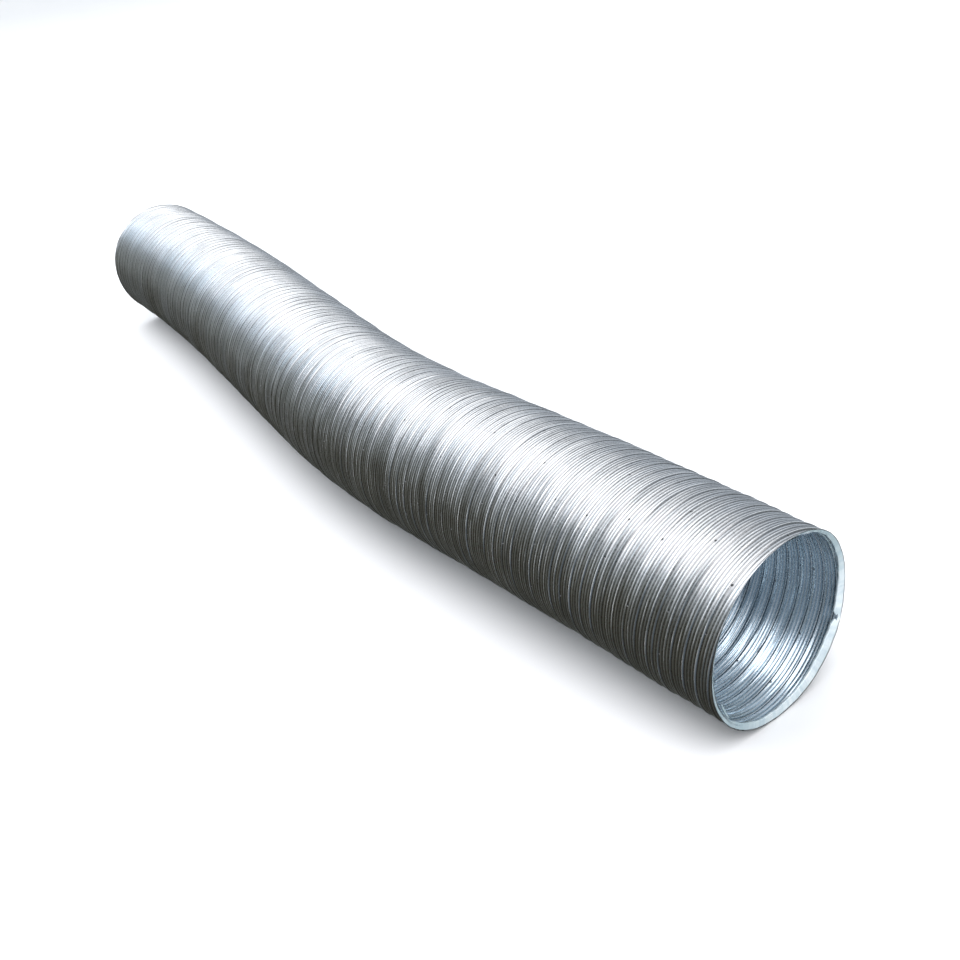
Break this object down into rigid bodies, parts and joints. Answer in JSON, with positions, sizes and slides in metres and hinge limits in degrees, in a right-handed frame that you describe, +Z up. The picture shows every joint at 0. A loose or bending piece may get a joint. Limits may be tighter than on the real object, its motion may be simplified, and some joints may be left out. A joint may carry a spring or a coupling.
{
  "type": "flexible air duct",
  "caption": "Strip-wound flexible air duct of aluminium foil and paper, finely ribbed, open at both ends, lying in a gentle S; it bends, stretches and stays where it is put.",
  "frame": {"origin": "on the surface that the duct lies on, under the middle of its box", "axes": "+X along the duct, from its back end to its front mouth; +Z up, the duct lies on its two ends and the S bends sideways"},
  "size_m": [0.5028, 0.0837, 0.0667],
  "materials": {
    "outer_foil": "satin ribbed foil",
    "inner_foil": "bright ribbed foil",
    "paper_core": "brown kraft paper",
    "flexible_wall": "satin ribbed foil"
  },
  "bodies": {
    "turn_group_01": {"outer_foil_01": "outer_foil", "paper_core_01": "paper_core", "inner_foil_01": "inner_foil"},
    "flex_01": {"flexible_turns_01": "flexible_wall"},
    "turn_group_02": {"outer_foil_02": "outer_foil", "paper_core_02": "paper_core", "inner_foil_02": "inner_foil"},
    "flex_02": {"flexible_turns_02": "flexible_wall"},
    "turn_group_03": {"outer_foil_03": "outer_foil", "paper_core_03": "paper_core", "inner_foil_03": "inner_foil"},
    "flex_03": {"flexible_turns_03": "flexible_wall"},
    "turn_group_04": {"outer_foil_04": "outer_foil", "paper_core_04": "paper_core", "inner_foil_04": "inner_foil"},
    "flex_04": {"flexible_turns_04": "flexible_wall"},
    "turn_group_05": {"outer_foil_05": "outer_foil", "paper_core_05": "paper_core", "inner_foil_05": "inner_foil"},
    "flex_05": {"flexible_turns_05": "flexible_wall"},
    "turn_group_06": {"outer_foil_06": "outer_foil", "paper_core_06": "paper_core", "inner_foil_06": "inner_foil"},
    "flex_06": {"flexible_turns_06": "flexible_wall"},
    "turn_group_07": {"outer_foil_07": "outer_foil", "paper_core_07": "paper_core", "inner_foil_07": "inner_foil"},
    "flex_07": {"flexible_turns_07": "flexible_wall"},
    "turn_group_08": {"outer_foil_08": "outer_foil", "paper_core_08": "paper_core", "inner_foil_08": "inner_foil"},
    "flex_08": {"flexible_turns_08": "flexible_wall"},
    "turn_group_09": {"outer_foil_09": "outer_foil", "paper_core_09": "paper_core", "inner_foil_09": "inner_foil"},
    "flex_09": {"flexible_turns_09": "flexible_wall"},
    "turn_group_10": {"outer_foil_10": "outer_foil", "paper_core_10": "paper_core", "inner_foil_10": "inner_foil"},
    "flex_10": {"flexible_turns_10": "flexible_wall"},
    "turn_group_11": {"outer_foil_11": "outer_foil", "paper_core_11": "paper_core", "inner_foil_11": "inner_foil"},
    "flex_11": {"flexible_turns_11": "flexible_wall"},
    "turn_group_12": {"outer_foil_12": "outer_foil", "paper_core_12": "paper_core", "inner_foil_12": "inner_foil"},
    "flex_12": {"flexible_turns_12": "flexible_wall"},
    "turn_group_13": {"outer_foil_13": "outer_foil", "paper_core_13": "paper_core", "inner_foil_13": "inner_foil"},
    "flex_13": {"flexible_turns_13": "flexible_wall"},
    "turn_group_14": {"outer_foil_14": "outer_foil", "paper_core_14": "paper_core", "inner_foil_14": "inner_foil"},
    "flex_14": {"flexible_turns_14": "flexible_wall"},
    "turn_group_15": {"outer_foil_15": "outer_foil", "paper_core_15": "paper_core", "inner_foil_15": "inner_foil"}
  },
  "joints": [
    {"name": "stretch_01", "type": "slide", "parent": "turn_group_01", "child": "flex_01", "axis": [0.9998, -0.0175, 0.0096], "range_m": [-0.0015, 0.004], "deforming": ["flexible_turns_01"]},
    {"name": "bend_side_01", "type": "hinge", "parent": "flex_01", "child": "turn_group_02", "pos_m": [-0.20898, 0.00951, 0.0319], "axis": [-0.0096, 0.0002, 1], "range_deg": [-28.8, 31.2], "deforming": ["flexible_turns_01"]},
    {"name": "stretch_02", "type": "slide", "parent": "turn_group_02", "child": "flex_02", "axis": [0.9992, -0.0384, 0.0096], "range_m": [-0.0015, 0.004], "deforming": ["flexible_turns_02"]},
    {"name": "bend_lift_02", "type": "hinge", "parent": "flex_02", "child": "turn_group_03", "pos_m": [-0.17619, 0.00814, 0.03222], "axis": [-0.0544, -0.9985, -0.0004], "range_deg": [-30, 30], "deforming": ["flexible_turns_02"]},
    {"name": "stretch_03", "type": "slide", "parent": "turn_group_03", "child": "flex_03", "axis": [0.9982, -0.0593, 0.0096], "range_m": [-0.0015, 0.004], "deforming": ["flexible_turns_03"]},
    {"name": "bend_side_03", "type": "hinge", "parent": "flex_03", "child": "turn_group_04", "pos_m": [-0.14344, 0.00609, 0.03253], "axis": [-0.0096, 0.0002, 1], "range_deg": [-28.8, 31.2], "deforming": ["flexible_turns_03"]},
    {"name": "stretch_04", "type": "slide", "parent": "turn_group_04", "child": "flex_04", "axis": [0.9967, -0.0802, 0.0096], "range_m": [-0.0015, 0.004], "deforming": ["flexible_turns_04"]},
    {"name": "bend_lift_04", "type": "hinge", "parent": "flex_04", "child": "turn_group_05", "pos_m": [-0.11074, 0.00335, 0.03284], "axis": [-0.0962, -0.9954, -0.0008], "range_deg": [-30, 30], "deforming": ["flexible_turns_04"]},
    {"name": "stretch_05", "type": "slide", "parent": "turn_group_05", "child": "flex_05", "axis": [0.9948, -0.1011, 0.0096], "range_m": [-0.0015, 0.004], "deforming": ["flexible_turns_05"]},
    {"name": "bend_side_05", "type": "hinge", "parent": "flex_05", "child": "turn_group_06", "pos_m": [-0.07809, 0.00004, 0.03316], "axis": [-0.0096, 0.0002, 1], "range_deg": [-30, 30], "deforming": ["flexible_turns_05"]},
    {"name": "stretch_06", "type": "slide", "parent": "turn_group_06", "child": "flex_06", "axis": [0.9948, -0.1011, 0.0096], "range_m": [-0.0015, 0.004], "deforming": ["flexible_turns_06"]},
    {"name": "bend_lift_06", "type": "hinge", "parent": "flex_06", "child": "turn_group_07", "pos_m": [-0.04544, -0.00327, 0.03347], "axis": [-0.1011, -0.9949, -0.0008], "range_deg": [-30, 30], "deforming": ["flexible_turns_06"]},
    {"name": "stretch_07", "type": "slide", "parent": "turn_group_07", "child": "flex_07", "axis": [0.9948, -0.1011, 0.0096], "range_m": [-0.0015, 0.004], "deforming": ["flexible_turns_07"]},
    {"name": "bend_side_07", "type": "hinge", "parent": "flex_07", "child": "turn_group_08", "pos_m": [-0.01279, -0.00659, 0.03379], "axis": [-0.0096, 0.0002, 1], "range_deg": [-30, 30], "deforming": ["flexible_turns_07"]},
    {"name": "stretch_08", "type": "slide", "parent": "turn_group_08", "child": "flex_08", "axis": [0.9948, -0.1011, 0.0096], "range_m": [-0.0015, 0.004], "deforming": ["flexible_turns_08"]},
    {"name": "bend_lift_08", "type": "hinge", "parent": "flex_08", "child": "turn_group_09", "pos_m": [0.01989, -0.00956, 0.0341], "axis": [-0.054, -0.9985, -0.0004], "range_deg": [-30, 30], "deforming": ["flexible_turns_08"]},
    {"name": "stretch_09", "type": "slide", "parent": "turn_group_09", "child": "flex_09", "axis": [0.9992, -0.0395, 0.0096], "range_m": [-0.0015, 0.004], "deforming": ["flexible_turns_09"]},
    {"name": "bend_side_09", "type": "hinge", "parent": "flex_09", "child": "turn_group_10", "pos_m": [0.05268, -0.01054, 0.03442], "axis": [-0.0096, 0.0002, 1], "range_deg": [-33.53, 26.47], "deforming": ["flexible_turns_09"]},
    {"name": "stretch_10", "type": "slide", "parent": "turn_group_10", "child": "flex_10", "axis": [0.9997, 0.0221, 0.0096], "range_m": [-0.0015, 0.004], "deforming": ["flexible_turns_10"]},
    {"name": "bend_lift_10", "type": "hinge", "parent": "flex_10", "child": "turn_group_11", "pos_m": [0.08548, -0.0095, 0.03473], "axis": [0.0693, -0.9976, 0.0008], "range_deg": [-30, 30], "deforming": ["flexible_turns_10"]},
    {"name": "stretch_11", "type": "slide", "parent": "turn_group_11", "child": "flex_11", "axis": [0.9964, 0.0837, 0.0095], "range_m": [-0.0015, 0.004], "deforming": ["flexible_turns_11"]},
    {"name": "bend_side_11", "type": "hinge", "parent": "flex_11", "child": "turn_group_12", "pos_m": [0.11818, -0.00679, 0.03504], "axis": [-0.0096, 0.0002, 1], "range_deg": [-30, 30], "deforming": ["flexible_turns_11"]},
    {"name": "stretch_12", "type": "slide", "parent": "turn_group_12", "child": "flex_12", "axis": [0.9964, 0.0837, 0.0095], "range_m": [-0.0015, 0.004], "deforming": ["flexible_turns_12"]},
    {"name": "bend_lift_12", "type": "hinge", "parent": "flex_12", "child": "turn_group_13", "pos_m": [0.15088, -0.00399, 0.03523], "axis": [0.0908, -0.9959, 0.001], "range_deg": [-28.73, 31.27], "deforming": ["flexible_turns_12"]},
    {"name": "stretch_13", "type": "slide", "parent": "turn_group_13", "child": "flex_13", "axis": [0.9956, 0.0929, -0.0126], "range_m": [-0.0015, 0.004], "deforming": ["flexible_turns_13"]},
    {"name": "bend_side_13", "type": "hinge", "parent": "flex_13", "child": "turn_group_14", "pos_m": [0.18355, -0.00089, 0.0347], "axis": [0.0293, 0.0038, 0.9996], "range_deg": [-30.53, 29.47], "deforming": ["flexible_turns_13"]},
    {"name": "stretch_14", "type": "slide", "parent": "turn_group_14", "child": "flex_14", "axis": [0.9942, 0.1021, -0.0347], "range_m": [-0.0015, 0.004], "deforming": ["flexible_turns_14"]},
    {"name": "bend_lift_14", "type": "hinge", "parent": "flex_14", "child": "turn_group_15", "pos_m": [0.21617, 0.00251, 0.03345], "axis": [0.1093, -0.994, 0.0004], "range_deg": [-28.73, 31.27], "deforming": ["flexible_turns_14"]}
  ],
  "couplings": [
    {"joint": "stretch_02", "follows": "stretch_01", "ratio": 1},
    {"joint": "stretch_03", "follows": "stretch_01", "ratio": 1},
    {"joint": "stretch_04", "follows": "stretch_01", "ratio": 1},
    {"joint": "stretch_05", "follows": "stretch_01", "ratio": 1},
    {"joint": "stretch_06", "follows": "stretch_01", "ratio": 1},
    {"joint": "stretch_07", "follows": "stretch_01", "ratio": 1},
    {"joint": "stretch_08", "follows": "stretch_01", "ratio": 1},
    {"joint": "stretch_09", "follows": "stretch_01", "ratio": 1},
    {"joint": "stretch_10", "follows": "stretch_01", "ratio": 1},
    {"joint": "stretch_11", "follows": "stretch_01", "ratio": 1},
    {"joint": "stretch_12", "follows": "stretch_01", "ratio": 1},
    {"joint": "stretch_13", "follows": "stretch_01", "ratio": 1},
    {"joint": "stretch_14", "follows": "stretch_01", "ratio": 1}
  ]
}
